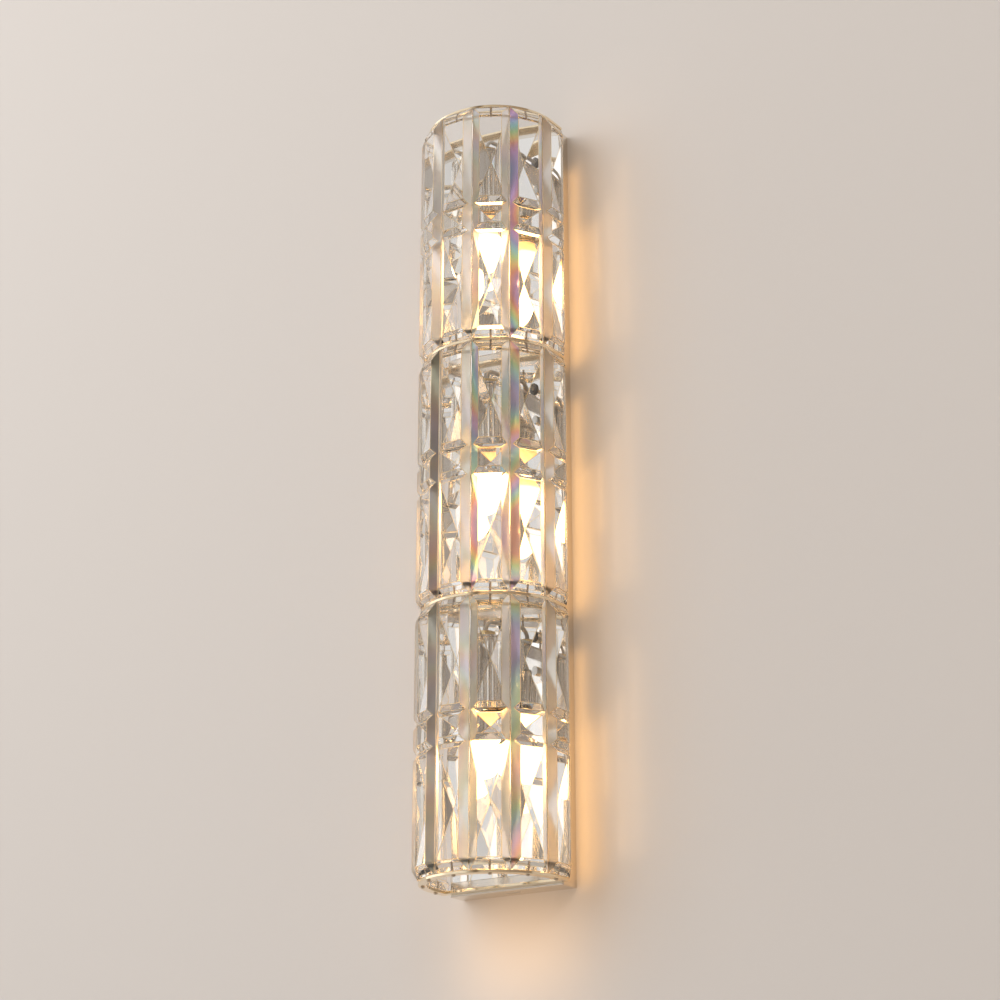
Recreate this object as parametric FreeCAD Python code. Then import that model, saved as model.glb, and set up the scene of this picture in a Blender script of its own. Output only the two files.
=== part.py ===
import FreeCAD, Part
import math
import os

# Crystal wall sconce with three lamps, in millimetres. +Z is up, the wall is the
# plane y = 0, and the lamp stands out from the wall along -Y. The origin is on the
# wall, at the centre of the back plate. Tiers are counted from the top.

Vector = FreeCAD.Vector
half_turn = math.pi
# the pull of a Bezier curve's middle poles that rounds a quarter of an ellipse
round_pull = 4 / 3 * (math.sqrt(2) - 1)

# back plate: a shallow folded pan, open towards the wall
plate_width = 96.0
plate_height = 600.0
plate_depth = 18.0
plate_sheet = 1.5
plate_edge_radius = 1.2

# mirror panels on the front of the plate, one in each tier
panel_thickness = 0.8
panel_side_margin = 3.0
panel_end_margin = 7.5

# hoops: four flat D-shaped rings, with lugs that pass through slots in the plate
tier_count = 3
hoop_centre_depth = 31.5
hoop_inset = 4.0
hoop_width = 6.0
hoop_thickness = 2.2
lug_width = 10.0
lug_spacing = 56.0
lug_proud = 2.5
lug_clearance = 0.1

# crystals: faceted glass bars, in a half circle of each tier
crystals_per_tier = 7
crystal_overhang = 10.0
crystal_front_width = 17.4
bevel_depth = 4.7
edge_land = 2.8
neighbour_gap = 0.55
pyramid_height = 9.0
end_block_height = 8.0
end_block_flat = 5.5
end_block_depth = 3.0
end_chamfer_height = 7.5
end_chamfer_depth = 4.4
upper_facets_length = 75.4
square_length = 22.9
groove_half_height = 4.1
groove_depth = 3.1
crystal_play = 0.25

# pins and screws that hold the crystals
pin_inset = 7.0
pin_radius = 0.8
pin_grip = 8.0
pin_hole_spare = 0.5
pin_hole_clearance = 0.1
hoop_hole_clearance = 0.05
screw_head_radius = 1.5
screw_head_height = 1.2

# lamp holders, placed below the hoop at the top of their tier
lamp_depth = 43.0
bracket_drop = 26.0
bracket_sheet = 1.5
bracket_width = 24.0
bracket_flange = 24.0
bracket_screw_drop = 16.0
bracket_screw_spacing = 12.0
nipple_radius = 5.0
nipple_bore = 3.5
nipple_above_bracket = 4.0
nipple_end_gap = 0.5
nipple_clearance = 0.05
nut_across_flats = 14.0
nut_thickness = 3.0
sleeve_radius = 12.0
sleeve_wall = 1.6
sleeve_top = 1.2
sleeve_length = 60.0
flute_count = 20
flute_radius = 1.2
flute_depth = 0.8
flute_end_margin = 3.0
core_clearance = 0.3
core_length = 32.0
core_mouth_recess = 2.0
core_nipple_socket = 5.0
core_web = 4.0
socket_radius = 7.3
contact_radius = 2.5
contact_length = 3.2

# short opal lamps with a 14 mm screw cap
contact_gap = 0.3
cap_radius = 6.9
cap_thread_depth = 0.4
cap_pitch = 2.82
cap_turns = 5
cap_nose_height = 4.0
cap_button_radius = 2.4
cap_button_height = 1.0
cap_collar_radius = 7.6
cap_collar_height = 5.5
cap_wall = 1.0
bulb_neck_radius = 7.2
bulb_belly_radius = 12.0
bulb_glass_length = 40.0
bulb_shoulder_height = 14.0
bulb_dome_height = 16.0
bulb_wall = 0.9

# wall bracket inside the plate
wall_strip_width = 76.0
wall_strip_sheet = 1.5
wall_strip_clearance = 0.5
wall_tab_reach = 14.0
tongue_width = 14.0
tongue_thickness = 1.6
tongue_depth = 9.2
tongue_clearance = 0.15
wall_slot_spacing = 440.0
wall_slot_radius = 2.5
wall_slot_length = 14.0
box_slot_spacing = 60.0
box_slot_radius = 2.25
box_slot_length = 8.0
cable_entry_radius = 10.0

# screws in the top edge of the plate
plate_screw_spacing = 48.0
plate_screw_depth = 8.0
plate_screw_radius = 1.5
plate_screw_length = 8.0
plate_screw_head_radius = 2.9
plate_screw_clearance = 0.08

# screws of the holder brackets
bracket_screw_radius = 2.0
bracket_screw_head_radius = 3.5
bracket_screw_head_height = 2.0
bracket_screw_reach = 2.0
bracket_screw_clearance = 0.1

# wiring
lead_radius = 1.6
lead_depth = 8.0
lead_exit_drop = 14.0
lead_exit_bend = 7.5
lead_drop_bend = 8.0
lead_run_bend = 10.0
lead_stub = 6.0
lead_shift = 12.0
lead_entry_margin = 6.0
grommet_radius = 3.4
grommet_flange = 1.2
grommet_flange_thickness = 1.0
grommet_clearance = 0.05
block_width = 34.0
block_height = 22.0
block_depth = 13.0
block_bottom = 30.0
block_pole_spacing = 10.5
block_well_radius = 2.4
block_well_depth = 6.0
block_well_spacing = 12.0
terminal_screw_radius = 2.0
terminal_screw_length = 4.0
terminal_screw_slot = 0.7
earth_screw_x = -26.0
earth_screw_z = 40.0
earth_screw_head_radius = 3.5
earth_screw_head_height = 2.4
earth_screw_clearance = 0.08

# worked out from the sizes above
plate_front = -plate_depth
panel_front = plate_front - panel_thickness
crystal_front_radius = plate_width / 2 + crystal_overhang
pin_circle_radius = crystal_front_radius - pin_inset
hoop_outer_radius = crystal_front_radius - hoop_inset
hoop_inner_radius = hoop_outer_radius - hoop_width
hoop_end_margin = plate_sheet + lug_clearance + hoop_thickness / 2
hoop_pitch = (plate_height - 2 * hoop_end_margin) / tier_count
hoop_levels = [plate_height / 2 - hoop_end_margin - hoop_pitch * i for i in range(tier_count + 1)]
crystal_length = hoop_pitch - hoop_thickness - crystal_play
crystal_step = half_turn / (crystals_per_tier - 1)
wedge_slope = math.tan(crystal_step / 2)
girdle_radius = crystal_front_radius - bevel_depth
land_radius = girdle_radius - edge_land
pin_hole_depth = pin_grip + pin_hole_spare
sleeve_top_drop = bracket_drop + bracket_sheet
sleeve_mouth_drop = sleeve_top_drop + sleeve_length
core_mouth_drop = sleeve_mouth_drop - core_mouth_recess
core_top_drop = core_mouth_drop - core_length
nipple_foot_drop = core_top_drop + core_nipple_socket - nipple_end_gap
socket_top_drop = core_top_drop + core_nipple_socket + core_web
cap_tip_drop = socket_top_drop + contact_length + contact_gap
cap_thread_drop = cap_tip_drop + cap_button_height + cap_nose_height
cap_collar_drop = cap_thread_drop + cap_pitch * cap_turns
glass_top_drop = cap_collar_drop + cap_collar_height
strip_half_height = plate_height / 2 - plate_sheet - wall_strip_clearance


def box(x0, x1, y0, y1, z0, z1):
    foot, top = sorted((z0, z1))
    return Part.makeBox(x1 - x0, y1 - y0, top - foot, Vector(x0, y0, foot))


def upright(radius, x, y, z0, z1):
    foot, top = sorted((z0, z1))
    return Part.makeCylinder(radius, top - foot, Vector(x, y, foot))


def level(radius, x, z, y0, y1):
    return Part.makeCylinder(radius, y1 - y0, Vector(x, y0, z), Vector(0, 1, 0))


def fused(shapes):
    return shapes[0].multiFuse(shapes[1:]).removeSplitter()


def face_of(points):
    return Part.Face(Part.makePolygon([Vector(*p) for p in points] + [Vector(*points[0])]))


def solid_of(faces):
    solid = Part.Solid(Part.makeShell([face_of(points) for points in faces]))
    if solid.Volume < 0:
        solid.reverse()
    return solid


def turned(profile):
    """A closed outline in the XZ plane, turned about the Z axis."""
    return Part.Face(Part.Wire(profile)).revolve(Vector(0, 0, 0), Vector(0, 0, 1), 360)


def line(p, q):
    return Part.LineSegment(Vector(*p), Vector(*q)).toShape()


def polyline(points):
    return [line(p, q) for p, q in zip(points, points[1:])]


def slot(length, radius, x, z, y0, y1, along_x):
    """A cutter for a round-ended slot through a sheet, centred on x, z."""
    reach = length / 2 - radius
    dx, dz = (reach, 0) if along_x else (0, reach)
    half_x, half_z = (reach, radius) if along_x else (radius, reach)
    middle = box(x - half_x, x + half_x, y0, y1, z - half_z, z + half_z)
    ends = [level(radius, x + side * dx, z + side * dz, y0, y1) for side in (-1, 1)]
    return fused([middle] + ends)


def crystal_angle(index):
    """The turn of a crystal about the hoops' centre, counted from the left."""
    return -half_turn / 2 + crystal_step * index


def pin_places():
    angles = [crystal_angle(index) for index in range(crystals_per_tier)]
    return [(pin_circle_radius * math.sin(angle),
             -hoop_centre_depth - pin_circle_radius * math.cos(angle)) for angle in angles]


def wedge_half_width(radius):
    """Half of a crystal's room at a radius, less its share of the gap."""
    return radius * wedge_slope - neighbour_gap / 2


# ---- crystal, standing on z = 0 with its front face towards -Y

def crystal_bar():
    half_front = crystal_front_width / 2
    half_girdle = wedge_half_width(girdle_radius)
    half_land = wedge_half_width(land_radius)
    outline = [(-half_front, -crystal_front_radius, 0), (half_front, -crystal_front_radius, 0),
               (half_girdle, -girdle_radius, 0), (half_land, -land_radius, 0),
               (-half_land, -land_radius, 0), (-half_girdle, -girdle_radius, 0)]
    return face_of(outline).extrude(Vector(0, 0, crystal_length))


def back_pyramid(z0, z1):
    """Four back facets that rise from the edge land to one point."""
    half = wedge_half_width(land_radius)
    base = [(-half, -land_radius, z0), (half, -land_radius, z0),
            (half, -land_radius, z1), (-half, -land_radius, z1)]
    tip = (0, -land_radius + pyramid_height, (z0 + z1) / 2)
    sides = [[base[i], base[(i + 1) % 4], tip] for i in range(4)]
    return solid_of([base] + sides)


def end_block(z_end, way):
    """The thicker end that takes the pin; way is +1 at the foot and -1 at the top."""
    back_radius = land_radius - end_block_depth
    wide = wedge_half_width(land_radius)
    narrow = wedge_half_width(back_radius)
    z_base = z_end + way * end_block_height
    z_flat = z_end + way * end_block_flat
    low = [(-wide, -land_radius, z_end), (wide, -land_radius, z_end),
           (wide, -land_radius, z_base), (-wide, -land_radius, z_base)]
    high = [(-narrow, -back_radius, z_end), (narrow, -back_radius, z_end),
            (narrow, -back_radius, z_flat), (-narrow, -back_radius, z_flat)]
    sides = [[low[i], low[(i + 1) % 4], high[(i + 1) % 4], high[i]] for i in range(4)]
    return solid_of([low, high] + sides)


def across_cutter(outline):
    """A wedge that runs across the whole front, from an outline of (y, z) points."""
    reach = crystal_front_radius
    return face_of([(-reach, y, z) for y, z in outline]).extrude(Vector(2 * reach, 0, 0))


def front_cutters():
    front = -crystal_front_radius
    over = end_chamfer_depth
    top = crystal_length
    square_top = top - end_block_height - upper_facets_length
    cutters = []
    for middle in (square_top, square_top - square_length):
        slope = groove_half_height / groove_depth
        wide = groove_half_height + over * slope
        cutters.append(across_cutter([(front - over, middle - wide), (front - over, middle + wide),
                                      (front + groove_depth, middle)]))
    rise = end_chamfer_height / end_chamfer_depth
    for z_end, way in ((0, 1), (top, -1)):
        inner = z_end - way * over * rise
        outer = z_end + way * (end_chamfer_height + over * rise)
        cutters.append(across_cutter([(front - over, outer), (front - over, inner),
                                      (front + end_chamfer_depth + over, inner)]))
    return cutters


def crystal():
    top = crystal_length
    square_top = top - end_block_height - upper_facets_length
    square_foot = square_top - square_length
    glass = fused([crystal_bar(),
                   back_pyramid(end_block_height, square_foot),
                   back_pyramid(square_foot, square_top),
                   back_pyramid(square_top, top - end_block_height),
                   end_block(0, 1), end_block(top, -1)])
    for cutter in front_cutters():
        glass = glass.cut(cutter)
    hole = pin_radius + pin_hole_clearance
    glass = glass.cut(upright(hole, 0, -pin_circle_radius, 0, pin_hole_depth))
    return glass.cut(upright(hole, 0, -pin_circle_radius, top - pin_hole_depth, top))


def placed_crystal(shape, tier, index):
    seat = hoop_levels[tier + 1] + hoop_thickness / 2
    copy = shape.copy()
    copy.rotate(Vector(0, 0, 0), Vector(0, 0, 1), math.degrees(crystal_angle(index)))
    copy.translate(Vector(0, -hoop_centre_depth, seat))
    return copy


# ---- hoops, and the pins and screws through them

def hoop_outline(radius, back, z):
    side = -hoop_centre_depth
    arc = Part.Arc(Vector(-radius, side, z), Vector(0, side - radius, z), Vector(radius, side, z))
    straight = polyline([(radius, side, z), (radius, back, z), (-radius, back, z), (-radius, side, z)])
    return Part.Wire([arc.toShape()] + straight)


def lug_places():
    return (-lug_spacing / 2, lug_spacing / 2)


def hoop(z):
    foot = z - hoop_thickness / 2
    outer = Part.Face(hoop_outline(hoop_outer_radius, plate_front, foot))
    inner = Part.Face(hoop_outline(hoop_inner_radius, plate_front - hoop_width, foot))
    ring = outer.cut(inner).extrude(Vector(0, 0, hoop_thickness))
    lugs = [box(x - lug_width / 2, x + lug_width / 2, plate_front,
                plate_front + plate_sheet + lug_proud, foot, foot + hoop_thickness)
            for x in lug_places()]
    ring = fused([ring] + lugs)
    for x, y in pin_places():
        hole = pin_radius + hoop_hole_clearance
        ring = ring.cut(upright(hole, x, y, foot, foot + hoop_thickness))
    return ring


def double_pins(z):
    """Headless pins that stand in the crystals above and below one hoop."""
    up = hoop_thickness / 2 + pin_grip
    down = hoop_thickness / 2 + crystal_play + pin_grip
    return [upright(pin_radius, x, y, z - down, z + up) for x, y in pin_places()]


def end_screws(z, way):
    """Small headed screws through the top (way +1) or the bottom hoop (way -1)."""
    surface = z + way * hoop_thickness / 2
    play = crystal_play if way > 0 else 0
    tip = surface - way * (hoop_thickness + play + pin_grip)
    head = surface + way * screw_head_height
    screws = []
    for x, y in pin_places():
        shank = upright(pin_radius, x, y, tip, surface)
        cap = upright(screw_head_radius, x, y, surface, head)
        screws.append(fused([shank, cap]))
    return screws


# ---- back plate and mirror panels

def bracket_screw_places(tier):
    z = hoop_levels[tier] - bracket_drop - bracket_screw_drop
    return [(side * bracket_screw_spacing / 2, z) for side in (-1, 1)]


def grommet_hole(tier):
    z = hoop_levels[tier] - lead_exit_drop
    return level(grommet_radius + grommet_clearance, 0, z, panel_front, plate_front + plate_sheet)


def sheet_holes():
    """Cutters for the lead exits and bracket screws, through the panels and the plate."""
    cutters = []
    for tier in range(tier_count):
        cutters.append(grommet_hole(tier))
        for x, z in bracket_screw_places(tier):
            hole = bracket_screw_radius + bracket_screw_clearance
            cutters.append(level(hole, x, z, panel_front, plate_front + plate_sheet))
    return cutters


def plate_screw_places():
    return [(side * plate_screw_spacing / 2, -plate_screw_depth) for side in (-1, 1)]


def countersunk(x, y, spare, length):
    """A flush screw head under the plate's top face, with its shank."""
    top = plate_height / 2
    neck = plate_screw_radius + spare
    rim = plate_screw_head_radius + spare
    head = Part.makeCone(neck, rim, plate_sheet, Vector(x, y, top - plate_sheet))
    shank = upright(neck, x, y, top - length, top - plate_sheet)
    return fused([head, shank])


def tongue(spare, z0, z1):
    half = tongue_width / 2 + spare
    back = -tongue_depth + tongue_thickness / 2 + spare
    front = -tongue_depth - tongue_thickness / 2 - spare
    return box(-half, half, front, back, z0, z1)


def back_plate():
    half_width = plate_width / 2
    half_height = plate_height / 2
    pan = box(-half_width, half_width, plate_front, 0, -half_height, half_height)
    front_edges = [edge for edge in pan.Edges if abs(edge.BoundBox.YMin - plate_front) < 0.01
                   and edge.BoundBox.YLength < 0.01]
    pan = pan.makeFillet(plate_edge_radius, front_edges)
    pan = pan.cut(box(-half_width + plate_sheet, half_width - plate_sheet, plate_front + plate_sheet,
                      0, -half_height + plate_sheet, half_height - plate_sheet))
    for z in hoop_levels:
        rise = hoop_thickness / 2 + lug_clearance
        for x in lug_places():
            reach = lug_width / 2 + lug_clearance
            pan = pan.cut(box(x - reach, x + reach, plate_front, plate_front + plate_sheet,
                              z - rise, z + rise))
    for cutter in sheet_holes():
        pan = pan.cut(cutter)
    for x, y in plate_screw_places():
        pan = pan.cut(countersunk(x, y, plate_screw_clearance, 2 * plate_sheet))
    return pan.cut(tongue(tongue_clearance, -half_height, -half_height + plate_sheet))


def mirror_panel(tier):
    half_width = plate_width / 2 - panel_side_margin
    top = hoop_levels[tier] - panel_end_margin
    foot = hoop_levels[tier + 1] + panel_end_margin
    panel = box(-half_width, half_width, panel_front, plate_front, foot, top)
    for cutter in sheet_holes():
        panel = panel.cut(cutter)
    return panel


# ---- wall bracket and its fixings

def wall_bracket():
    half_width = wall_strip_width / 2
    front = -wall_strip_sheet
    strip = box(-half_width, half_width, front, 0, -strip_half_height, strip_half_height)
    tabs = [box(-half_width, half_width, -wall_tab_reach, front,
                way * strip_half_height, way * (strip_half_height - wall_strip_sheet))
            for way in (-1, 1)]
    bracket = fused([strip] + tabs + [tongue(0, -plate_height / 2, -strip_half_height)])
    cutters = [level(cable_entry_radius, 0, 0, front, 0),
               level(bracket_screw_radius, earth_screw_x, earth_screw_z, front, 0)]
    for side in (-1, 1):
        cutters.append(slot(wall_slot_length, wall_slot_radius, 0, side * wall_slot_spacing / 2,
                            front, 0, False))
        cutters.append(slot(box_slot_length, box_slot_radius, side * box_slot_spacing / 2, 0,
                            front, 0, True))
    for x, y in plate_screw_places():
        hole = plate_screw_radius + plate_screw_clearance
        cutters.append(upright(hole, x, y, strip_half_height - wall_strip_sheet, strip_half_height))
    for cutter in cutters:
        bracket = bracket.cut(cutter)
    return bracket


def plate_screws():
    return [countersunk(x, y, 0, plate_screw_length) for x, y in plate_screw_places()]


def earth_screw():
    radius = bracket_screw_radius - earth_screw_clearance
    front = -wall_strip_sheet
    shank = level(radius, earth_screw_x, earth_screw_z, front, 0)
    head = level(earth_screw_head_radius, earth_screw_x, earth_screw_z,
                 front - earth_screw_head_height, front)
    return fused([shank, head])


# ---- lamp holders; z is the level of the hoop at the top of the tier

def holder_bracket(tier):
    z = hoop_levels[tier]
    half = bracket_width / 2
    top = z - bracket_drop
    foot = top - bracket_sheet
    flange = box(-half, half, panel_front - bracket_sheet, panel_front, top - bracket_flange, top)
    leg = box(-half, half, -lamp_depth, panel_front, foot, top)
    nose = upright(half, 0, -lamp_depth, foot, top)
    bracket = fused([flange, leg, nose])
    bracket = bracket.cut(upright(nipple_radius + nipple_clearance, 0, -lamp_depth, foot, top))
    for x, screw_z in bracket_screw_places(tier):
        hole = bracket_screw_radius + bracket_screw_clearance
        bracket = bracket.cut(level(hole, x, screw_z, panel_front - bracket_sheet, panel_front))
    return bracket


def bracket_screws():
    screws = []
    flange_front = panel_front - bracket_sheet
    tip = plate_front + plate_sheet + bracket_screw_reach
    for tier in range(tier_count):
        for x, z in bracket_screw_places(tier):
            shank = level(bracket_screw_radius, x, z, flange_front, tip)
            head = level(bracket_screw_head_radius, x, z,
                         flange_front - bracket_screw_head_height, flange_front)
            screws.append(fused([shank, head]))
    return screws


def holder_nipple(tier):
    top = hoop_levels[tier] - bracket_drop + nipple_above_bracket
    foot = hoop_levels[tier] - nipple_foot_drop
    return upright(nipple_radius, 0, -lamp_depth, foot, top).cut(
        upright(nipple_bore, 0, -lamp_depth, foot, top))


def holder_nut(tier):
    foot = hoop_levels[tier] - bracket_drop
    corner_step = half_turn / 3
    corner = nut_across_flats / 2 / math.cos(corner_step / 2)
    points = [(corner * math.cos(corner_step * i), -lamp_depth + corner * math.sin(corner_step * i),
               foot) for i in range(6)]
    nut = face_of(points).extrude(Vector(0, 0, nut_thickness))
    return nut.cut(upright(nipple_radius + nipple_clearance, 0, -lamp_depth, foot, foot + nut_thickness))


def holder_sleeve(tier):
    top = hoop_levels[tier] - sleeve_top_drop
    foot = top - sleeve_length
    cup = upright(sleeve_radius, 0, -lamp_depth, foot, top)
    cup = cup.cut(upright(sleeve_radius - sleeve_wall, 0, -lamp_depth, foot, top - sleeve_top))
    cup = cup.cut(upright(nipple_radius + nipple_clearance, 0, -lamp_depth, foot, top))
    ring = sleeve_radius + flute_radius - flute_depth
    flutes = []
    for i in range(flute_count):
        angle = 2 * half_turn * i / flute_count
        flutes.append(upright(flute_radius, ring * math.cos(angle), -lamp_depth + ring * math.sin(angle),
                              foot + flute_end_margin, top - flute_end_margin))
    return cup.cut(Part.makeCompound(flutes))


def holder_core(tier):
    z = hoop_levels[tier]
    core = upright(sleeve_radius - sleeve_wall - core_clearance, 0, -lamp_depth,
                   z - core_mouth_drop, z - core_top_drop)
    core = core.cut(upright(nipple_radius + nipple_clearance, 0, -lamp_depth,
                            z - core_top_drop - core_nipple_socket, z - core_top_drop))
    return core.cut(upright(socket_radius, 0, -lamp_depth, z - core_mouth_drop, z - socket_top_drop))


def holder_contact(tier):
    top = hoop_levels[tier] - socket_top_drop
    return upright(contact_radius, 0, -lamp_depth, top - contact_length, top)


# ---- lamps

def bulb_cap(tier):
    """Screw cap, as a turned shell with rounded thread ridges."""
    tip = -cap_tip_drop
    thread = -cap_thread_drop
    collar = -cap_collar_drop
    foot = -glass_top_drop
    root = cap_radius - cap_thread_depth
    nose = polyline([(0, 0, tip), (cap_button_radius, 0, tip),
                     (cap_button_radius, 0, tip - cap_button_height), (root, 0, thread)])
    ridges = []
    for i in range(cap_turns):
        start = thread - i * cap_pitch
        ridges.append(Part.Arc(Vector(root, 0, start), Vector(cap_radius, 0, start - cap_pitch / 2),
                               Vector(root, 0, start - cap_pitch)).toShape())
    bore = root - cap_wall
    skirt = polyline([(root, 0, collar), (cap_collar_radius, 0, collar - cap_collar_height / 2),
                      (cap_collar_radius, 0, foot), (bore, 0, foot), (bore, 0, thread),
                      (0, 0, thread), (0, 0, tip)])
    cap = turned(nose + ridges + skirt)
    cap.translate(Vector(0, -lamp_depth, hoop_levels[tier]))
    return cap


def smooth_curve(poles):
    """A Bezier curve in the XZ plane, from its (x, z) poles."""
    curve = Part.BezierCurve()
    curve.setPoles([Vector(x, 0, z) for x, z in poles])
    return curve.toShape()


def bulb_solid(inset):
    """The glass, drawn in by inset: shoulder, straight side and dome, from its neck down."""
    neck = bulb_neck_radius - inset
    belly = bulb_belly_radius - inset
    top = -glass_top_drop
    side_top = top - bulb_shoulder_height
    side_foot = top - bulb_glass_length + bulb_dome_height
    tip = top - bulb_glass_length + inset
    turn = (top + side_top) / 2
    shoulder = smooth_curve([(neck, top), (neck, turn), (belly, turn), (belly, side_top)])
    pull = round_pull * (side_foot - tip)
    dome = smooth_curve([(belly, side_foot), (belly, side_foot - pull),
                         (round_pull * belly, tip), (0, tip)])
    closing = polyline([(0, 0, tip), (0, 0, top), (neck, 0, top)])
    return turned([shoulder, line((belly, 0, side_top), (belly, 0, side_foot)), dome] + closing)


def bulb_glass(tier):
    glass = bulb_solid(0).cut(bulb_solid(bulb_wall))
    glass.translate(Vector(0, -lamp_depth, hoop_levels[tier]))
    return glass


# ---- wiring

def rounded_path(points, bends):
    """Straight runs between points, with a tangent arc of the given radius at each corner."""
    points = [Vector(*p) for p in points]
    edges = []
    start = points[0]
    for before, corner, after, bend in zip(points, points[1:], points[2:], bends):
        back = (before - corner).normalize()
        ahead = (after - corner).normalize()
        half_angle = back.getAngle(ahead) / 2
        trim = bend / math.tan(half_angle)
        middle_way = (back + ahead).normalize()
        middle = corner + middle_way * (bend / math.sin(half_angle) - bend)
        first = corner + back * trim
        last = corner + ahead * trim
        edges.append(Part.LineSegment(start, first).toShape())
        edges.append(Part.Arc(first, middle, last).toShape())
        start = last
    edges.append(Part.LineSegment(start, points[-1]).toShape())
    return Part.Wire(edges)


def lead(points, bends):
    path = rounded_path(points, bends)
    first = Vector(*points[0])
    way = Vector(*points[1]) - first
    section = Part.Wire([Part.makeCircle(lead_radius, first, way)])
    return path.makePipeShell([section], True, False)


def lead_to_lamp(tier, start, way):
    """A lead from the terminal block to a holder: along the back of the plate, up (way +1)
    or down (way -1), then out through the plate and down into the holder."""
    exit_level = hoop_levels[tier] - lead_exit_drop
    foot = hoop_levels[tier] - core_top_drop - core_nipple_socket
    straight = exit_level - way * (lead_exit_bend + lead_stub)
    side = start[-1][0]
    run = start + [(side, straight - way * lead_shift), (0, straight)]
    points = [(x, -lead_depth, z) for x, z in run]
    points += [(0, -lead_depth, exit_level), (0, -lamp_depth, exit_level), (0, -lamp_depth, foot)]
    bends = [lead_run_bend] * (len(run) - 1) + [lead_exit_bend, lead_drop_bend]
    return lead(points, bends)


def lamp_leads():
    top = block_bottom + block_height
    pole = block_pole_spacing
    past_entry = cable_entry_radius + lead_entry_margin
    return [lead_to_lamp(0, [(pole, top)], 1),
            lead_to_lamp(1, [(-pole, top)], 1),
            lead_to_lamp(2, [(pole, block_bottom), (pole, block_bottom - lead_stub),
                             (past_entry, cable_entry_radius)], -1)]


def lead_grommet(tier):
    z = hoop_levels[tier] - lead_exit_drop
    inside = plate_front + plate_sheet
    flange = grommet_radius + grommet_flange
    ring = fused([level(grommet_radius, 0, z, panel_front, inside),
                  level(flange, 0, z, panel_front - grommet_flange_thickness, panel_front),
                  level(flange, 0, z, inside, inside + grommet_flange_thickness)])
    return ring.cut(level(lead_radius + grommet_clearance, 0, z,
                          panel_front - grommet_flange_thickness, inside + grommet_flange_thickness))


def terminal_places():
    middle = block_bottom + block_height / 2
    return [(pole * block_pole_spacing, middle + row * block_well_spacing / 2)
            for pole in (-1, 0, 1) for row in (-1, 1)]


def terminal_block():
    back = -wall_strip_sheet
    front = back - block_depth
    block = box(-block_width / 2, block_width / 2, front, back, block_bottom, block_bottom + block_height)
    for x, z in terminal_places():
        block = block.cut(level(block_well_radius, x, z, front, front + block_well_depth))
    return block


def terminal_screws():
    seat = -wall_strip_sheet - block_depth + block_well_depth
    screws = []
    for x, z in terminal_places():
        screw = level(terminal_screw_radius, x, z, seat - terminal_screw_length, seat)
        driver = box(x - terminal_screw_radius, x + terminal_screw_radius, seat - terminal_screw_length,
                     seat - terminal_screw_length + terminal_screw_slot,
                     z - terminal_screw_slot / 2, z + terminal_screw_slot / 2)
        screws.append(screw.cut(driver))
    return screws


def save(name, shape):
    if isinstance(shape, list):
        shape = shape[0] if len(shape) == 1 else Part.makeCompound(shape)
    for solid in shape.Solids:
        if not solid.isValid() or solid.Volume <= 0:
            print("bad solid in", name)
    shape.exportStep(os.path.join("parts", name + ".step"))
    print("%-24s %2d solid(s) %10.1f mm3" % (name, len(shape.Solids), shape.Volume))


def build():
    os.makedirs("parts", exist_ok=True)
    tiers = range(tier_count)
    hoop_names = ["hoop_top"] + ["hoop_middle_%d" % i for i in range(1, tier_count)] + ["hoop_bottom"]

    save("wall_bracket", wall_bracket())
    save("plate_screws", plate_screws())
    save("earth_screw", earth_screw())
    save("back_plate", back_plate())
    for name, z in zip(hoop_names, hoop_levels):
        save(name, hoop(z))
    glass = crystal()
    for tier in tiers:
        save("mirror_panel_%d" % (tier + 1), mirror_panel(tier))
        for index in range(crystals_per_tier):
            save("crystal_%d_%d" % (tier + 1, index + 1), placed_crystal(glass, tier, index))
        save("holder_bracket_%d" % (tier + 1), holder_bracket(tier))
        save("holder_sleeve_%d" % (tier + 1), holder_sleeve(tier))
        save("holder_core_%d" % (tier + 1), holder_core(tier))
        save("bulb_cap_%d" % (tier + 1), bulb_cap(tier))
        save("bulb_glass_%d" % (tier + 1), bulb_glass(tier))
    save("crystal_screws_top", end_screws(hoop_levels[0], 1))
    for i in range(1, tier_count):
        save("crystal_pins_%d" % i, double_pins(hoop_levels[i]))
    save("crystal_screws_bottom", end_screws(hoop_levels[-1], -1))
    save("holder_nipples", [holder_nipple(tier) for tier in tiers])
    save("holder_nuts", [holder_nut(tier) for tier in tiers])
    save("holder_contacts", [holder_contact(tier) for tier in tiers])
    save("holder_bracket_screws", bracket_screws())
    save("lead_grommets", [lead_grommet(tier) for tier in tiers])
    save("lamp_leads", lamp_leads())
    save("terminal_block", terminal_block())
    save("terminal_screws", terminal_screws())


build()
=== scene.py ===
import bpy
import bmesh
import math
import numpy as np
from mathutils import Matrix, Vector


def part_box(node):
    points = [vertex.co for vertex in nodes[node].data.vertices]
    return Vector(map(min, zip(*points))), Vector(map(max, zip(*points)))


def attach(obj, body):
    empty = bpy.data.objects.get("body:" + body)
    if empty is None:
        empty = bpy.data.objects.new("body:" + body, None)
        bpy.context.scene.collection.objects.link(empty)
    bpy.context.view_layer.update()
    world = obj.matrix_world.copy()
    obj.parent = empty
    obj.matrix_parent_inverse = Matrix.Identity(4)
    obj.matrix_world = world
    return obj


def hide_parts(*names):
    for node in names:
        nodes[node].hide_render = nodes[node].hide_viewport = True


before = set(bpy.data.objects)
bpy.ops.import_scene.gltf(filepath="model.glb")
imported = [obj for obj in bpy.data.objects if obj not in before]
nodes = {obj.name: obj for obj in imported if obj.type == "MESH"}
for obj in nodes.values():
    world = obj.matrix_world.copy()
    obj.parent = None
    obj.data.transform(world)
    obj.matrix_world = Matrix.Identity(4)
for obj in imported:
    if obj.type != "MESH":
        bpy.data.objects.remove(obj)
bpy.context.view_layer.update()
print("frame loaded:", len(nodes), "nodes")

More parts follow.
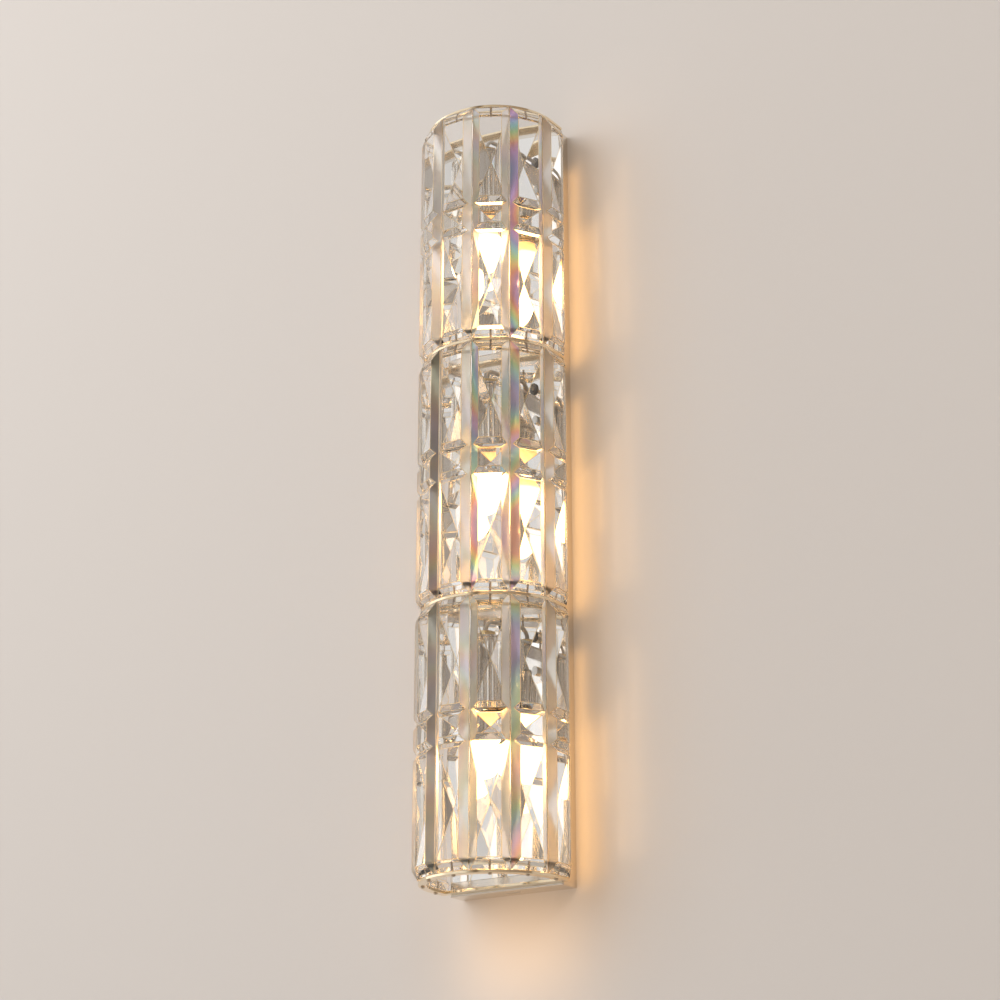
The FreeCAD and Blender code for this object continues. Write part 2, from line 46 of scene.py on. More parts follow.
mm = 0.001
weldDistance = 0.001 * mm
tiers = (1, 2, 3)
places = (1, 2, 3, 4, 5, 6, 7)
placeTurn = math.pi / 6


# places read from the frame, in metres

def middleOf(node):
    low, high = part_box(node)
    return (low + high) / 2


def turnOf(place):
    # the crystals stand in a half circle, from straight left to straight right
    return -math.pi / 2 + placeTurn * (place - 1)


plateLow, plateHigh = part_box("back_plate")
hoopNames = ["hoop_top", "hoop_middle_1", "hoop_middle_2", "hoop_bottom"]
hoopLow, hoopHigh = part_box("hoop_top")
hoopRadius = hoopHigh.x
hoopCentreY = hoopLow.y + hoopRadius
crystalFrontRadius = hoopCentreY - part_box("crystal_1_4")[0].y


# mesh helpers

def gridFaces(rows, columns, closeRows=False):
    # quads between neighbouring rows and columns; columns close on themselves, and rows where asked
    lastRow = rows if closeRows else rows - 1
    row, column = np.meshgrid(np.arange(lastRow), np.arange(columns), indexing="ij")
    nextRow = (row + 1) % rows
    nextColumn = (column + 1) % columns
    corners = [row * columns + column, row * columns + nextColumn,
               nextRow * columns + nextColumn, nextRow * columns + column]
    return np.stack(corners, axis=-1).reshape(-1, 4).tolist()


def fullTurn(segments):
    return np.arange(segments) * 2 * math.pi / segments


def turned(radius, level, centre, segments, closed=False):
    # each level goes round the upright axis through the centre, with one radius or one for each
    # angle: x is the radius times the cosine of the angle, y the radius times its sine
    angles = fullTurn(segments)
    points = np.stack([centre[0] + radius * np.cos(angles), centre[1] + radius * np.sin(angles),
                       level + 0 * angles], axis=-1)
    return points, gridFaces(len(level), segments, closeRows=closed)


def gathered(shapes):
    # several (points, faces) pairs as one pair
    points, faces, count = [], [], 0
    for shapePoints, shapeFaces in shapes:
        flat = shapePoints.reshape(-1, 3)
        points.append(flat)
        faces += [[index + count for index in face] for face in shapeFaces]
        count += len(flat)
    return np.concatenate(points), faces


def bezier(poles, count):
    # the cubic curve of four poles: t goes from 0 to 1 and s is the rest of 1, and the poles weigh
    # s cubed, three times t times s squared, three times t squared times s, and t cubed
    t = np.linspace(0, 1, count)[:, None]
    s = 1 - t
    first, second, third, last = (np.array(pole) for pole in poles)
    return s ** 3 * first + 3 * t * s ** 2 * second + 3 * t ** 2 * s * third + t ** 3 * last


def meshObject(name, points, faces, weld=False, dissolveAngle=0.0):
    # doubles are merged and flat neighbours joined where asked, and faces turned outward
    mesh = bpy.data.meshes.new(name)
    mesh.from_pydata(points.reshape(-1, 3).tolist(), [], faces)
    work = bmesh.new()
    work.from_mesh(mesh)
    if weld:
        bmesh.ops.remove_doubles(work, verts=work.verts, dist=weldDistance)
        bmesh.ops.dissolve_degenerate(work, edges=work.edges, dist=weldDistance)
    if dissolveAngle:
        bmesh.ops.dissolve_limit(work, angle_limit=math.radians(dissolveAngle),
                                 verts=work.verts, edges=work.edges)
    bmesh.ops.recalc_face_normals(work, faces=work.faces)
    work.to_mesh(mesh)
    work.free()
    piece = bpy.data.objects.new(name, mesh)
    bpy.context.scene.collection.objects.link(piece)
    return piece


def shadeSmooth(piece, sharpAngle):
    piece.data.shade_smooth()
    piece.data.set_sharp_from_angle(angle=math.radians(sharpAngle))


def standFor(piece, node, material, body):
    piece.data.materials.append(material)
    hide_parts(node)
    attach(piece, body)


# material helpers

noiseLook = dict(detail=4.0, roughness=0.6, span=(0.25, 0.75), bumpStrength=0.5)


def newMaterial(name):
    material = bpy.data.materials.new(name)
    material.use_nodes = True
    return material, material.node_tree.nodes["Principled BSDF"]


def addNode(tree, kind, **values):
    node = tree.nodes.new(kind)
    for key, value in values.items():
        if hasattr(node, key):
            setattr(node, key, value)
        else:
            node.inputs[key].default_value = value
    return node


def join(tree, source, target):
    tree.links.new(source, target)


def spread(tree, value, fromRange, toRange):
    # a value carried from one range to another, held at its ends
    node = addNode(tree, "ShaderNodeMapRange")
    node.inputs["From Min"].default_value, node.inputs["From Max"].default_value = fromRange
    node.inputs["To Min"].default_value, node.inputs["To Max"].default_value = toRange
    join(tree, value, node.inputs["Value"])
    return node.outputs["Result"]


def stretchedCoordinates(tree, stretch):
    coordinates = addNode(tree, "ShaderNodeTexCoord")
    mapping = addNode(tree, "ShaderNodeMapping")
    mapping.inputs["Scale"].default_value = stretch
    join(tree, coordinates.outputs["Object"], mapping.inputs["Vector"])
    return mapping.outputs["Vector"]


def noiseRange(tree, stretch, low, high, detail=noiseLook["detail"]):
    # noise on object coordinates, spread over a range of values
    noise = addNode(tree, "ShaderNodeTexNoise", Scale=1.0, Detail=detail, Roughness=noiseLook["roughness"])
    join(tree, stretchedCoordinates(tree, stretch), noise.inputs["Vector"])
    return spread(tree, noise.outputs["Fac"], noiseLook["span"], (low, high))


def mixed(tree, factor, first, second):
    # two colours mixed by a factor; either may be a plain colour or another node's output
    node = addNode(tree, "ShaderNodeMix", data_type="RGBA")
    join(tree, factor, node.inputs["Factor"])
    for name, colour in (("A", first), ("B", second)):
        if isinstance(colour, tuple):
            node.inputs[name].default_value = (*colour[:3], 1.0)
        else:
            join(tree, colour, node.inputs[name])
    return node.outputs["Result"]


def marked(tree, name):
    # a value that the mesh carries on its faces or corners
    return addNode(tree, "ShaderNodeAttribute", attribute_name=name).outputs["Fac"]


def toneRamp(tree, value, tones):
    # colours along a value from 0 to 1, from a list of (position, colour)
    ramp = addNode(tree, "ShaderNodeValToRGB")
    while len(ramp.color_ramp.elements) < len(tones):
        ramp.color_ramp.elements.new(0.5)
    for element, (position, colour) in zip(ramp.color_ramp.elements, tones):
        element.position = position
        element.color = (*colour, 1.0)
    join(tree, value, ramp.inputs["Fac"])
    return ramp.outputs["Color"]


def addBump(tree, shader, height, distance):
    bump = addNode(tree, "ShaderNodeBump", Strength=noiseLook["bumpStrength"], Distance=distance)
    join(tree, height, bump.inputs["Height"])
    join(tree, bump.outputs["Normal"], shader.inputs["Normal"])


def surfaceMaterial(name, look, metallic):
    # tone from slow noise, roughness and bump from fine noise stretched along the grain
    material, shader = newMaterial(name)
    tree = material.node_tree
    shader.inputs["Metallic"].default_value = metallic
    join(tree, noiseRange(tree, look["grain"], *look["roughness"]), shader.inputs["Roughness"])
    cloud = noiseRange(tree, look["cloud"], 0.0, 1.0)
    join(tree, mixed(tree, cloud, look["dark"], look["light"]), shader.inputs["Base Color"])
    if "bump" in look:
        addBump(tree, shader, noiseRange(tree, look["grain"], 0.0, 1.0), look["bump"])
    return material


def dress(nodeName, material):
    slots = nodes[nodeName].material_slots
    for slot in slots:
        slot.material = material
    if not slots:
        nodes[nodeName].data.materials.append(material)


# finishes of the metals and small parts

metalFinishes = {
    "hoopMetal": dict(light=(0.95, 0.84, 0.64), dark=(0.88, 0.74, 0.52), roughness=(0.06, 0.14),
                      grain=(900, 900, 900), cloud=(30, 30, 30)),
    "plateSteel": dict(light=(0.82, 0.77, 0.70), dark=(0.74, 0.69, 0.62), roughness=(0.12, 0.22),
                       grain=(1400, 1400, 60), cloud=(12, 12, 4)),
    "mirrorSteel": dict(light=(0.90, 0.89, 0.87), dark=(0.87, 0.86, 0.84), roughness=(0.01, 0.035),
                        grain=(500, 500, 500), cloud=(20, 20, 10)),
    "pinSteel": dict(light=(0.62, 0.53, 0.42), dark=(0.44, 0.36, 0.28), roughness=(0.20, 0.36),
                     grain=(1500, 1500, 1500), cloud=(200, 200, 200)),
    "sleeveChrome": dict(light=(0.82, 0.80, 0.76), dark=(0.72, 0.70, 0.66), roughness=(0.06, 0.14),
                         grain=(900, 900, 90), cloud=(40, 40, 40)),
    "bracketChrome": dict(light=(0.82, 0.80, 0.77), dark=(0.74, 0.72, 0.69), roughness=(0.10, 0.22),
                          grain=(1200, 90, 1200), cloud=(40, 40, 40)),
    "capNickel": dict(light=(0.78, 0.75, 0.70), dark=(0.66, 0.63, 0.58), roughness=(0.18, 0.32),
                      grain=(1200, 1200, 1200), cloud=(120, 120, 120)),
    "brass": dict(light=(0.86, 0.69, 0.40), dark=(0.74, 0.56, 0.28), roughness=(0.16, 0.30),
                  grain=(1200, 1200, 1200), cloud=(150, 150, 150)),
    "zincScrew": dict(light=(0.72, 0.71, 0.69), dark=(0.58, 0.58, 0.57), roughness=(0.24, 0.40),
                      grain=(1500, 1500, 1500), cloud=(180, 180, 180)),
    "zincSheet": dict(light=(0.72, 0.73, 0.73), dark=(0.56, 0.58, 0.60), roughness=(0.28, 0.46),
                      grain=(260, 260, 260), cloud=(70, 70, 45), bump=0.02 * mm),
}
dullFinishes = {
    "porcelain": dict(light=(0.90, 0.89, 0.86), dark=(0.84, 0.82, 0.78), roughness=(0.12, 0.24),
                      grain=(700, 700, 700), cloud=(90, 90, 90), bump=0.02 * mm),
    "siliconeSheath": dict(light=(0.86, 0.85, 0.82), dark=(0.76, 0.74, 0.70), roughness=(0.45, 0.62),
                           grain=(1600, 1600, 1600), cloud=(60, 60, 60), bump=0.04 * mm),
    "darkRubber": dict(light=(0.24, 0.235, 0.23), dark=(0.17, 0.167, 0.165), roughness=(0.55, 0.75),
                       grain=(1600, 1600, 1600), cloud=(200, 200, 200), bump=0.04 * mm),
    "blockPlastic": dict(light=(0.86, 0.85, 0.80), dark=(0.80, 0.78, 0.72), roughness=(0.38, 0.55),
                         grain=(1300, 1300, 1300), cloud=(80, 80, 80), bump=0.03 * mm),
}
made = {name: surfaceMaterial(name, look, 1.0) for name, look in metalFinishes.items()}
made.update({name: surfaceMaterial(name, look, 0.0) for name, look in dullFinishes.items()})

finishOf = {"back_plate": "plateSteel", "wall_bracket": "zincSheet", "plate_screws": "zincScrew",
            "earth_screw": "zincScrew", "holder_bracket_screws": "zincScrew", "holder_nuts": "brass",
            "holder_nipples": "brass", "holder_contacts": "brass", "lamp_leads": "siliconeSheath",
            "lead_grommets": "darkRubber", "terminal_block": "blockPlastic",
            "terminal_screws": "zincScrew", "crystal_pins_1": "pinSteel", "crystal_pins_2": "pinSteel"}
for tier in tiers:
    finishOf["mirror_panel_%d" % tier] = "mirrorSteel"
    finishOf["holder_bracket_%d" % tier] = "bracketChrome"
    finishOf["holder_core_%d" % tier] = "porcelain"
for nodeName, finish in finishOf.items():
    dress(nodeName, made[finish])
print("metals and small parts finished:", len(finishOf), "nodes")


# hoops

hoopLook = dict(width=6.0 * mm, edge=0.3 * mm, arcSteps=120, lugWidth=10.0 * mm, lugSpacing=56.0 * mm,
                sharp=35.0)


def hoopPath(look, radius, backY):
    # half a circle round the hoops' centre, then straight back to the plate on both sides
    turns = np.linspace(-math.pi / 2, math.pi / 2, look["arcSteps"])
    x = np.concatenate([radius * np.sin(turns), [radius, -radius]])
    y = np.concatenate([hoopCentreY - radius * np.cos(turns), [backY, backY]])
    return x, y


def hoopPiece(look, node):
    # paths with small edge faces, along the outer and the inner outline, closed into a flat ring,
    # and two lugs that reach into the plate
    low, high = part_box(node)
    foot, top, edge = low.z, high.z, look["edge"]
    outer, inner = hoopRadius, hoopRadius - look["width"]
    outerBack, innerBack = plateLow.y, plateLow.y - look["width"]
    rings = []
    for radius, backY, z in ((outer, outerBack, foot + edge), (outer, outerBack, top - edge),
                             (outer - edge, outerBack - edge, top), (inner + edge, innerBack + edge, top),
                             (inner, innerBack, top - edge), (inner, innerBack, foot + edge),
                             (inner + edge, innerBack + edge, foot), (outer - edge, outerBack - edge, foot)):
        x, y = hoopPath(look, radius, backY)
        rings.append(np.stack([x, y, np.full_like(x, z)], axis=-1))
    shapes = [(np.array(rings), gridFaces(len(rings), len(x), closeRows=True))]
    for side in (-1, 1):
        shapes.append(lugShape(side * look["lugSpacing"] / 2, look["lugWidth"], outerBack, high.y, foot, top))
    piece = meshObject(node + "Ring", *gathered(shapes))
    shadeSmooth(piece, look["sharp"])
    standFor(piece, node, made["hoopMetal"], "sconce")


def lugShape(x, width, y0, y1, z0, z1):
    corners = np.array([(x + sx * width / 2, y, z) for y in (y0, y1)
                        for sx, z in ((-1, z0), (1, z0), (1, z1), (-1, z1))])
    return corners, gridFaces(2, 4) + [[0, 1, 2, 3], [4, 5, 6, 7]]


for name in hoopNames:
    hoopPiece(hoopLook, name)
print("hoops made:", len(hoopNames))


# screws with domed heads, through the top and the bottom hoop into the crystals

screwLook = dict(headRadius=1.5 * mm, headRim=0.45 * mm, headHeight=1.2 * mm, shankRadius=0.8 * mm,
                 tip=0.4 * mm, domeRings=7, segments=28, sharp=40.0)


def screwProfile(look, length):
    # tip, shank, rim and a dome whose radius falls as the cosine and rises as the sine
    reach = length - look["headHeight"]
    turns = np.linspace(0, math.pi / 2, look["domeRings"])
    rise = look["headHeight"] - look["headRim"]
    dome = np.stack([look["headRadius"] * np.cos(turns), reach + look["headRim"] + rise * np.sin(turns)],
                    axis=1)
    shank = [(0, 0), (look["shankRadius"] - look["tip"] / 2, 0), (look["shankRadius"], look["tip"]),
             (look["shankRadius"], reach), (look["headRadius"], reach)]
    return np.concatenate([np.array(shank), dome])


def crystalScrews(look, node, way):
    low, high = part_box(node)
    circle = high.x - look["headRadius"]
    profile = screwProfile(look, high.z - low.z)
    profile[:, 1] = low.z + profile[:, 1] if way > 0 else high.z - profile[:, 1]
    shapes = []
    for place in places:
        turn = turnOf(place)
        centre = (circle * math.sin(turn), hoopCentreY - circle * math.cos(turn))
        shapes.append(turned(profile[:, :1], profile[:, 1:], centre, look["segments"]))
    piece = meshObject(node + "Domed", *gathered(shapes), weld=True)
    shadeSmooth(piece, look["sharp"])
    standFor(piece, node, made["pinSteel"], "sconce")


crystalScrews(screwLook, "crystal_screws_top", 1)
crystalScrews(screwLook, "crystal_screws_bottom", -1)
print("crystal screws made")


# crystals

# the warm edge colour below is a painted golden highlight, the bevel colour painted warm light, the dark
# colour a painted dark reflection, and the spectrum's drift and turns lay out painted dispersion colours
crystalLook = dict(frontWidth=17.4 * mm, bevelDepth=4.7 * mm, edgeLand=2.8 * mm, gap=0.55 * mm,
                   pyramid=9.0 * mm, endHeight=8.0 * mm, endFlat=5.5 * mm, endDepth=3.0 * mm,
                   chamferHeight=7.5 * mm, chamferDepth=4.4 * mm, upperFacets=75.4 * mm,
                   square=22.9 * mm, grooveHalf=4.1 * mm, grooveDepth=3.1 * mm,
                   levelDigits=9, levelSlack=1e-7, flatAngle=0.3, bevelFacing=0.4, bevelTilt=0.1,
                   edge=0.3 * mm, edgeAngle=8.0, ior=1.545, tint=(0.985, 0.990, 1.0),
                   clear=(1.0, 1.0, 1.0), cloud=(60, 60, 20), paintedBevelWarmth=(0.99, 0.95, 0.90),
                   bevelRoughness=0.46, paintedEdgeHighlight=(1.0, 0.74, 0.40), edgeRoughness=0.45,
                   paintedDarkReflectionTint=(0.10, 0.08, 0.06), spectrumDrift=(14, 14, 11), spectrumTurns=3.0)
# how much of the painted dispersion colours and of the painted dark reflection a bevel shows, by tier,
# place and side; others show the plain share
bevelShares = dict(paintedDispersion=dict(plain=0.05, strong={(1, 6, -1): 1.0, (2, 5, -1): 0.95, (2, 6, -1): 0.85,
                                                    (3, 6, -1): 0.75, (3, 4, 1): 0.25, (1, 5, -1): 0.35,
                                                    (3, 5, -1): 0.2, (2, 4, 1): 0.12}),
                   paintedDarkReflection=dict(plain=0.0, strong={(1, 3, 1): 0.35, (2, 3, 1): 1.0, (3, 3, 1): 0.9}))


def crystalStations(look, length):
    # levels where the section changes: the front's depth there, and the back's height above the
    # edge land with how far it has closed in, from 0 to 1
    top = length
    squareTop = top - look["endHeight"] - look["upperFacets"]
    squareFoot = squareTop - look["square"]
    frontKnots = [(0, look["chamferDepth"]), (look["chamferHeight"], 0)]
    for groove in (squareFoot, squareTop):
        frontKnots += [(groove - look["grooveHalf"], 0), (groove, look["grooveDepth"]),
                       (groove + look["grooveHalf"], 0)]
    frontKnots += [(top - look["chamferHeight"], 0), (top, look["chamferDepth"])]
    pyramids = [(look["endHeight"], squareFoot), (squareFoot, squareTop),
                (squareTop, top - look["endHeight"])]
    backKnots = [(0, look["endDepth"], 0), (look["endFlat"], look["endDepth"], 0)]
    for foot, head in pyramids:
        backKnots += [(foot, 0, 0), ((foot + head) / 2, look["pyramid"], 1)]
    backKnots += [(top - look["endHeight"], 0, 0), (top - look["endFlat"], look["endDepth"], 0),
                  (top, look["endDepth"], 0)]
    return np.array(frontKnots), np.array(backKnots)


def crystalPoints(look, length):
    # a section of eight points, carried up the crystal, each pair at plus and minus a half width:
    # the front, which moves back on the bevel planes in the grooves; the girdle; the edge land;
    # and the ridge of the back, which rises and closes in to each pyramid's tip
    slope = math.tan(placeTurn / 2)
    frontRadius = crystalFrontRadius
    girdleRadius = frontRadius - look["bevelDepth"]
    landRadius = girdleRadius - look["edgeLand"]
    halfFront = look["frontWidth"] / 2
    halfGirdle = girdleRadius * slope - look["gap"] / 2
    halfLand = landRadius * slope - look["gap"] / 2
    front, back = crystalStations(look, length)
    levels = np.unique(np.concatenate([front[:, 0], back[:, 0]]).round(look["levelDigits"]))
    frontDepth = np.interp(levels, front[:, 0], front[:, 1])
    ridgeHeight = np.interp(levels, back[:, 0], back[:, 1])
    closed = np.interp(levels, back[:, 0], back[:, 2])
    endHeight = look["endHeight"] - look["levelSlack"]
    inEnd = (levels < endHeight) | (levels > length - endHeight)
    halfRidge = np.where(inEnd, halfLand - ridgeHeight * slope, halfLand * (1 - closed))
    halfFrontHere = halfFront + (halfGirdle - halfFront) * frontDepth / look["bevelDepth"]
    one = np.ones_like(levels)
    x = np.stack([-halfFrontHere, halfFrontHere, halfGirdle * one, halfLand * one, halfRidge,
                  -halfRidge, -halfLand * one, -halfGirdle * one], axis=1)
    y = np.stack([frontDepth - frontRadius] * 2 + [-girdleRadius * one, -landRadius * one,
                 ridgeHeight - landRadius, ridgeHeight - landRadius,
                 -landRadius * one, -girdleRadius * one], axis=1)
    z = np.repeat(levels[:, None], x.shape[1], axis=1)
    return np.stack([x, y, z], axis=-1)


def markBevels(piece, look, tier, place):
    # the long bevels beside the front face are told by their normal, turned back to the front
    turn = turnOf(place)
    mesh = piece.data
    normals = np.empty(len(mesh.polygons) * 3)
    mesh.polygons.foreach_get("normal", normals)
    normals = normals.reshape(-1, 3)
    across = normals[:, 0] * math.cos(turn) + normals[:, 1] * math.sin(turn)
    ahead = normals[:, 0] * math.sin(turn) - normals[:, 1] * math.cos(turn)
    upright = (ahead > look["bevelFacing"]) & (np.abs(normals[:, 2]) < look["bevelTilt"])
    bevels = {side: (across * side > look["bevelFacing"]) & upright for side in (-1, 1)}
    marks = {"band": np.where(bevels[-1] | bevels[1], 1.0, 0.0)}
    marks["soft"] = marks["band"] * look["bevelRoughness"]
    # shares of the painted dispersion colours and of the painted dark reflection on each bevel
    for name, shares in bevelShares.items():
        marks[name] = sum(np.where(bevel, shares["strong"].get((tier, place, side), shares["plain"]), 0.0)
                          for side, bevel in bevels.items())
    for name, values in marks.items():
        mesh.attributes.new(name, "FLOAT", "FACE").data.foreach_set("value", values.astype(np.float32))


def cutEdges(piece, look):
    # each edge that turns by more than the angle gets a narrow face, marked as an edge
    work = bmesh.new()
    work.from_mesh(piece.data)
    edgeMark = work.faces.layers.float.new("edge")
    softMark = work.faces.layers.float["soft"]
    sharp = [edge for edge in work.edges if edge.calc_face_angle(0.0) > math.radians(look["edgeAngle"])]
    narrow = bmesh.ops.bevel(work, geom=sharp, offset=look["edge"], offset_type="OFFSET", segments=1,
                             profile=0.5, affect="EDGES", clamp_overlap=True)
    for face in narrow["faces"]:
        face[edgeMark] = 1.0
        face[softMark] = look["edgeRoughness"]
    work.to_mesh(piece.data)
    work.free()


def crystalPiece(look, tier, place, material):
    node = "crystal_%d_%d" % (tier, place)
    low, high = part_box(node)
    points = crystalPoints(look, high.z - low.z)
    turn = turnOf(place)
    x = points[..., 0] * math.cos(turn) - points[..., 1] * math.sin(turn)
    y = points[..., 0] * math.sin(turn) + points[..., 1] * math.cos(turn)
    placed = np.stack([x, y + hoopCentreY, points[..., 2] + low.z], axis=-1)
    rows, columns = placed.shape[:2]
    faces = gridFaces(rows, columns)
    faces += [list(range(columns)), list(range((rows - 1) * columns, rows * columns))]
    piece = meshObject("cutCrystal_%d_%d" % (tier, place), placed, faces,
                       weld=True, dissolveAngle=look["flatAngle"])
    markBevels(piece, look, tier, place)
    cutEdges(piece, look)
    standFor(piece, node, material, "sconce")


# the painted dispersion colours that some bevels show, standing in for light split by the glass
paintedSpectrum = [(0.00, (1.00, 0.32, 0.24)), (0.14, (1.00, 0.74, 0.22)), (0.30, (0.42, 0.95, 0.38)),
            (0.46, (0.24, 0.82, 0.98)), (0.62, (0.24, 0.34, 1.00)), (0.80, (0.68, 0.32, 1.00)),
            (1.00, (1.00, 0.32, 0.24))]


def crystalMaterial(look):
    # clear glass with a painted golden highlight on its edges; the bevels are soft and carry a painted
    # warm tint, some of them a painted dark reflection, and on others painted dispersion colours run up
    # and down the bar, drawn out by slow noise
    material, shader = newMaterial("leadCrystal")
    tree = material.node_tree
    shader.inputs["Transmission Weight"].default_value = 1.0
    shader.inputs["IOR"].default_value = look["ior"]
    marks = ("band", "soft", "paintedDispersion", "paintedDarkReflection", "edge")
    band, soft, paintedDispersion, paintedDarkReflection, edge = (marked(tree, name) for name in marks)
    join(tree, soft, shader.inputs["Roughness"])
    clear = mixed(tree, noiseRange(tree, look["cloud"], 0.0, 1.0), look["tint"], look["clear"])
    phase = noiseRange(tree, look["spectrumDrift"], 0.0, look["spectrumTurns"], detail=0.0)
    turns = addNode(tree, "ShaderNodeMath", operation="FRACT")
    join(tree, phase, turns.inputs[0])
    # the bevels get a faint painted warm tint, standing in for warm light seen in them
    colour = mixed(tree, band, clear, look["paintedBevelWarmth"])
    # some bevels get a painted dark reflection
    colour = mixed(tree, paintedDarkReflection, colour, look["paintedDarkReflectionTint"])
    # other bevels get painted dispersion colours
    colour = mixed(tree, paintedDispersion, colour, toneRamp(tree, turns.outputs[0], paintedSpectrum))
    # the narrow edge faces get a painted golden highlight
    join(tree, mixed(tree, edge, colour, look["paintedEdgeHighlight"]), shader.inputs["Base Color"])
    return material


crystalGlass = crystalMaterial(crystalLook)
for tier in tiers:
    for place in places:
        crystalPiece(crystalLook, tier, place, crystalGlass)
print("crystals cut:", len(tiers) * len(places))


# lamps: opal glass, threaded cap and fluted sleeve

bulbLook = dict(neckRadius=7.2 * mm, shoulder=14.0 * mm, dome=16.0 * mm, rings=20, segments=72, sharp=40.0,
                light=(1.0, 0.96, 0.90), dark=(0.96, 0.90, 0.80), roughness=(0.12, 0.22),
                cloud=(60, 60, 60), grain=(400, 400, 400),
                glow=[(0.0, (0.60, 0.31, 0.10)), (0.22, (1.0, 0.60, 0.24)), (0.58, (1.0, 0.60, 0.24)),
                      (0.80, (0.22, 0.10, 0.024)), (1.0, (0.08, 0.034, 0.007))], strength=15.0)
capLook = dict(root=6.5 * mm, collarRadius=7.6 * mm, collarHeight=5.5 * mm, threadDepth=0.4 * mm,
               pitch=2.82 * mm, turns=5, buttonRadius=2.4 * mm, buttonHeight=1.0 * mm,
               buttonSlope=0.3 * mm, buttonTip=0.6, rowsInTurn=10, segments=60, sharp=50.0)
sleeveLook = dict(wall=1.6 * mm, top=1.2 * mm, hole=5.05 * mm, flutes=20, fluteRadius=1.2 * mm,
                  fluteDepth=0.8 * mm, endMargin=3.0 * mm, lip=0.5 * mm, columnsInFlute=12,
                  endRows=7, straightRows=8, lipRows=5, sharp=32.0)


def bulbMaterial(look):
    material, shader = newMaterial("litOpalGlass")
    tree = material.node_tree
    cloud = noiseRange(tree, look["cloud"], 0.0, 1.0)
    join(tree, mixed(tree, cloud, look["dark"], look["light"]), shader.inputs["Base Color"])
    join(tree, noiseRange(tree, look["grain"], *look["roughness"]), shader.inputs["Roughness"])
    join(tree, toneRamp(tree, marked(tree, "level"), look["glow"]), shader.inputs["Emission Color"])
    shader.inputs["Emission Strength"].default_value = look["strength"]
    return material


def markLevels(piece, low, high):
    # how far up the piece each corner lies, from 0 to 1
    places = np.empty(len(piece.data.vertices) * 3)
    piece.data.vertices.foreach_get("co", places)
    share = (places[2::3] - low) / (high - low)
    piece.data.attributes.new("level", "FLOAT", "POINT").data.foreach_set("value", share.astype(np.float32))


def bulbPiece(look, tier, material):
    # a shoulder that swells from the neck along a cubic curve, a straight side, and a dome whose
    # radius falls as the cosine while its level falls as the sine; it glows most around its middle
    node = "bulb_glass_%d" % tier
    low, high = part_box(node)
    middle = (low + high) / 2
    radius = (high.x - low.x) / 2
    sideTop = high.z - look["shoulder"]
    turn = (high.z + sideTop) / 2
    neck = look["neckRadius"]
    shoulder = bezier([(neck, high.z), (neck, turn), (radius, turn), (radius, sideTop)], look["rings"])
    turns = np.linspace(0, math.pi / 2, look["rings"])
    dome = np.stack([radius * np.cos(turns), low.z + look["dome"] * (1 - np.sin(turns))], axis=1)
    profile = np.concatenate([[(0, high.z)], shoulder, dome])
    shape = turned(profile[:, :1], profile[:, 1:], middle, look["segments"])
    piece = meshObject("opalBulb_%d" % tier, *shape, weld=True)
    shadeSmooth(piece, look["sharp"])
    markLevels(piece, low.z, high.z)
    standFor(piece, node, material, "lamp_bulb_%d" % tier)


def capPiece(look, tier):
    # the thread's ridge climbs one pitch in a turn: its height is half of one plus the cosine of
    # level over pitch less the turn, faded out at both ends of the thread
    node = "bulb_cap_%d" % tier
    low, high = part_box(node)
    middle = (low + high) / 2
    threadFoot = low.z + look["collarHeight"]
    threadTop = threadFoot + look["pitch"] * look["turns"]
    thread = np.linspace(threadFoot, threadTop, look["rowsInTurn"] * look["turns"] + 1)
    fade = np.clip(np.minimum(thread - threadFoot, threadTop - thread) / (look["pitch"] / 2), 0, 1)
    button, buttonFoot = look["buttonRadius"], high.z - look["buttonHeight"]
    collar = [(0, low.z), (look["collarRadius"], low.z),
              (look["collarRadius"], low.z + look["collarHeight"] / 2)]
    tip = [(button + look["buttonSlope"], buttonFoot), (button, buttonFoot),
           (button, buttonFoot + look["buttonHeight"] / 2), (button * look["buttonTip"], high.z), (0, high.z)]
    profile = np.array(collar + [(look["root"], z) for z in thread] + tip)
    height = np.zeros(len(profile))
    height[len(collar):len(collar) + len(thread)] = fade
    wave = 0.5 + 0.5 * np.cos(2 * math.pi * profile[:, 1:] / look["pitch"] - fullTurn(look["segments"]))
    radius = profile[:, :1] + look["threadDepth"] * height[:, None] * wave
    piece = meshObject("threadedCap_%d" % tier, *turned(radius, profile[:, 1:], middle, look["segments"]),
                       weld=True)
    shadeSmooth(piece, look["sharp"])
    standFor(piece, node, made["capNickel"], "lamp_bulb_%d" % tier)


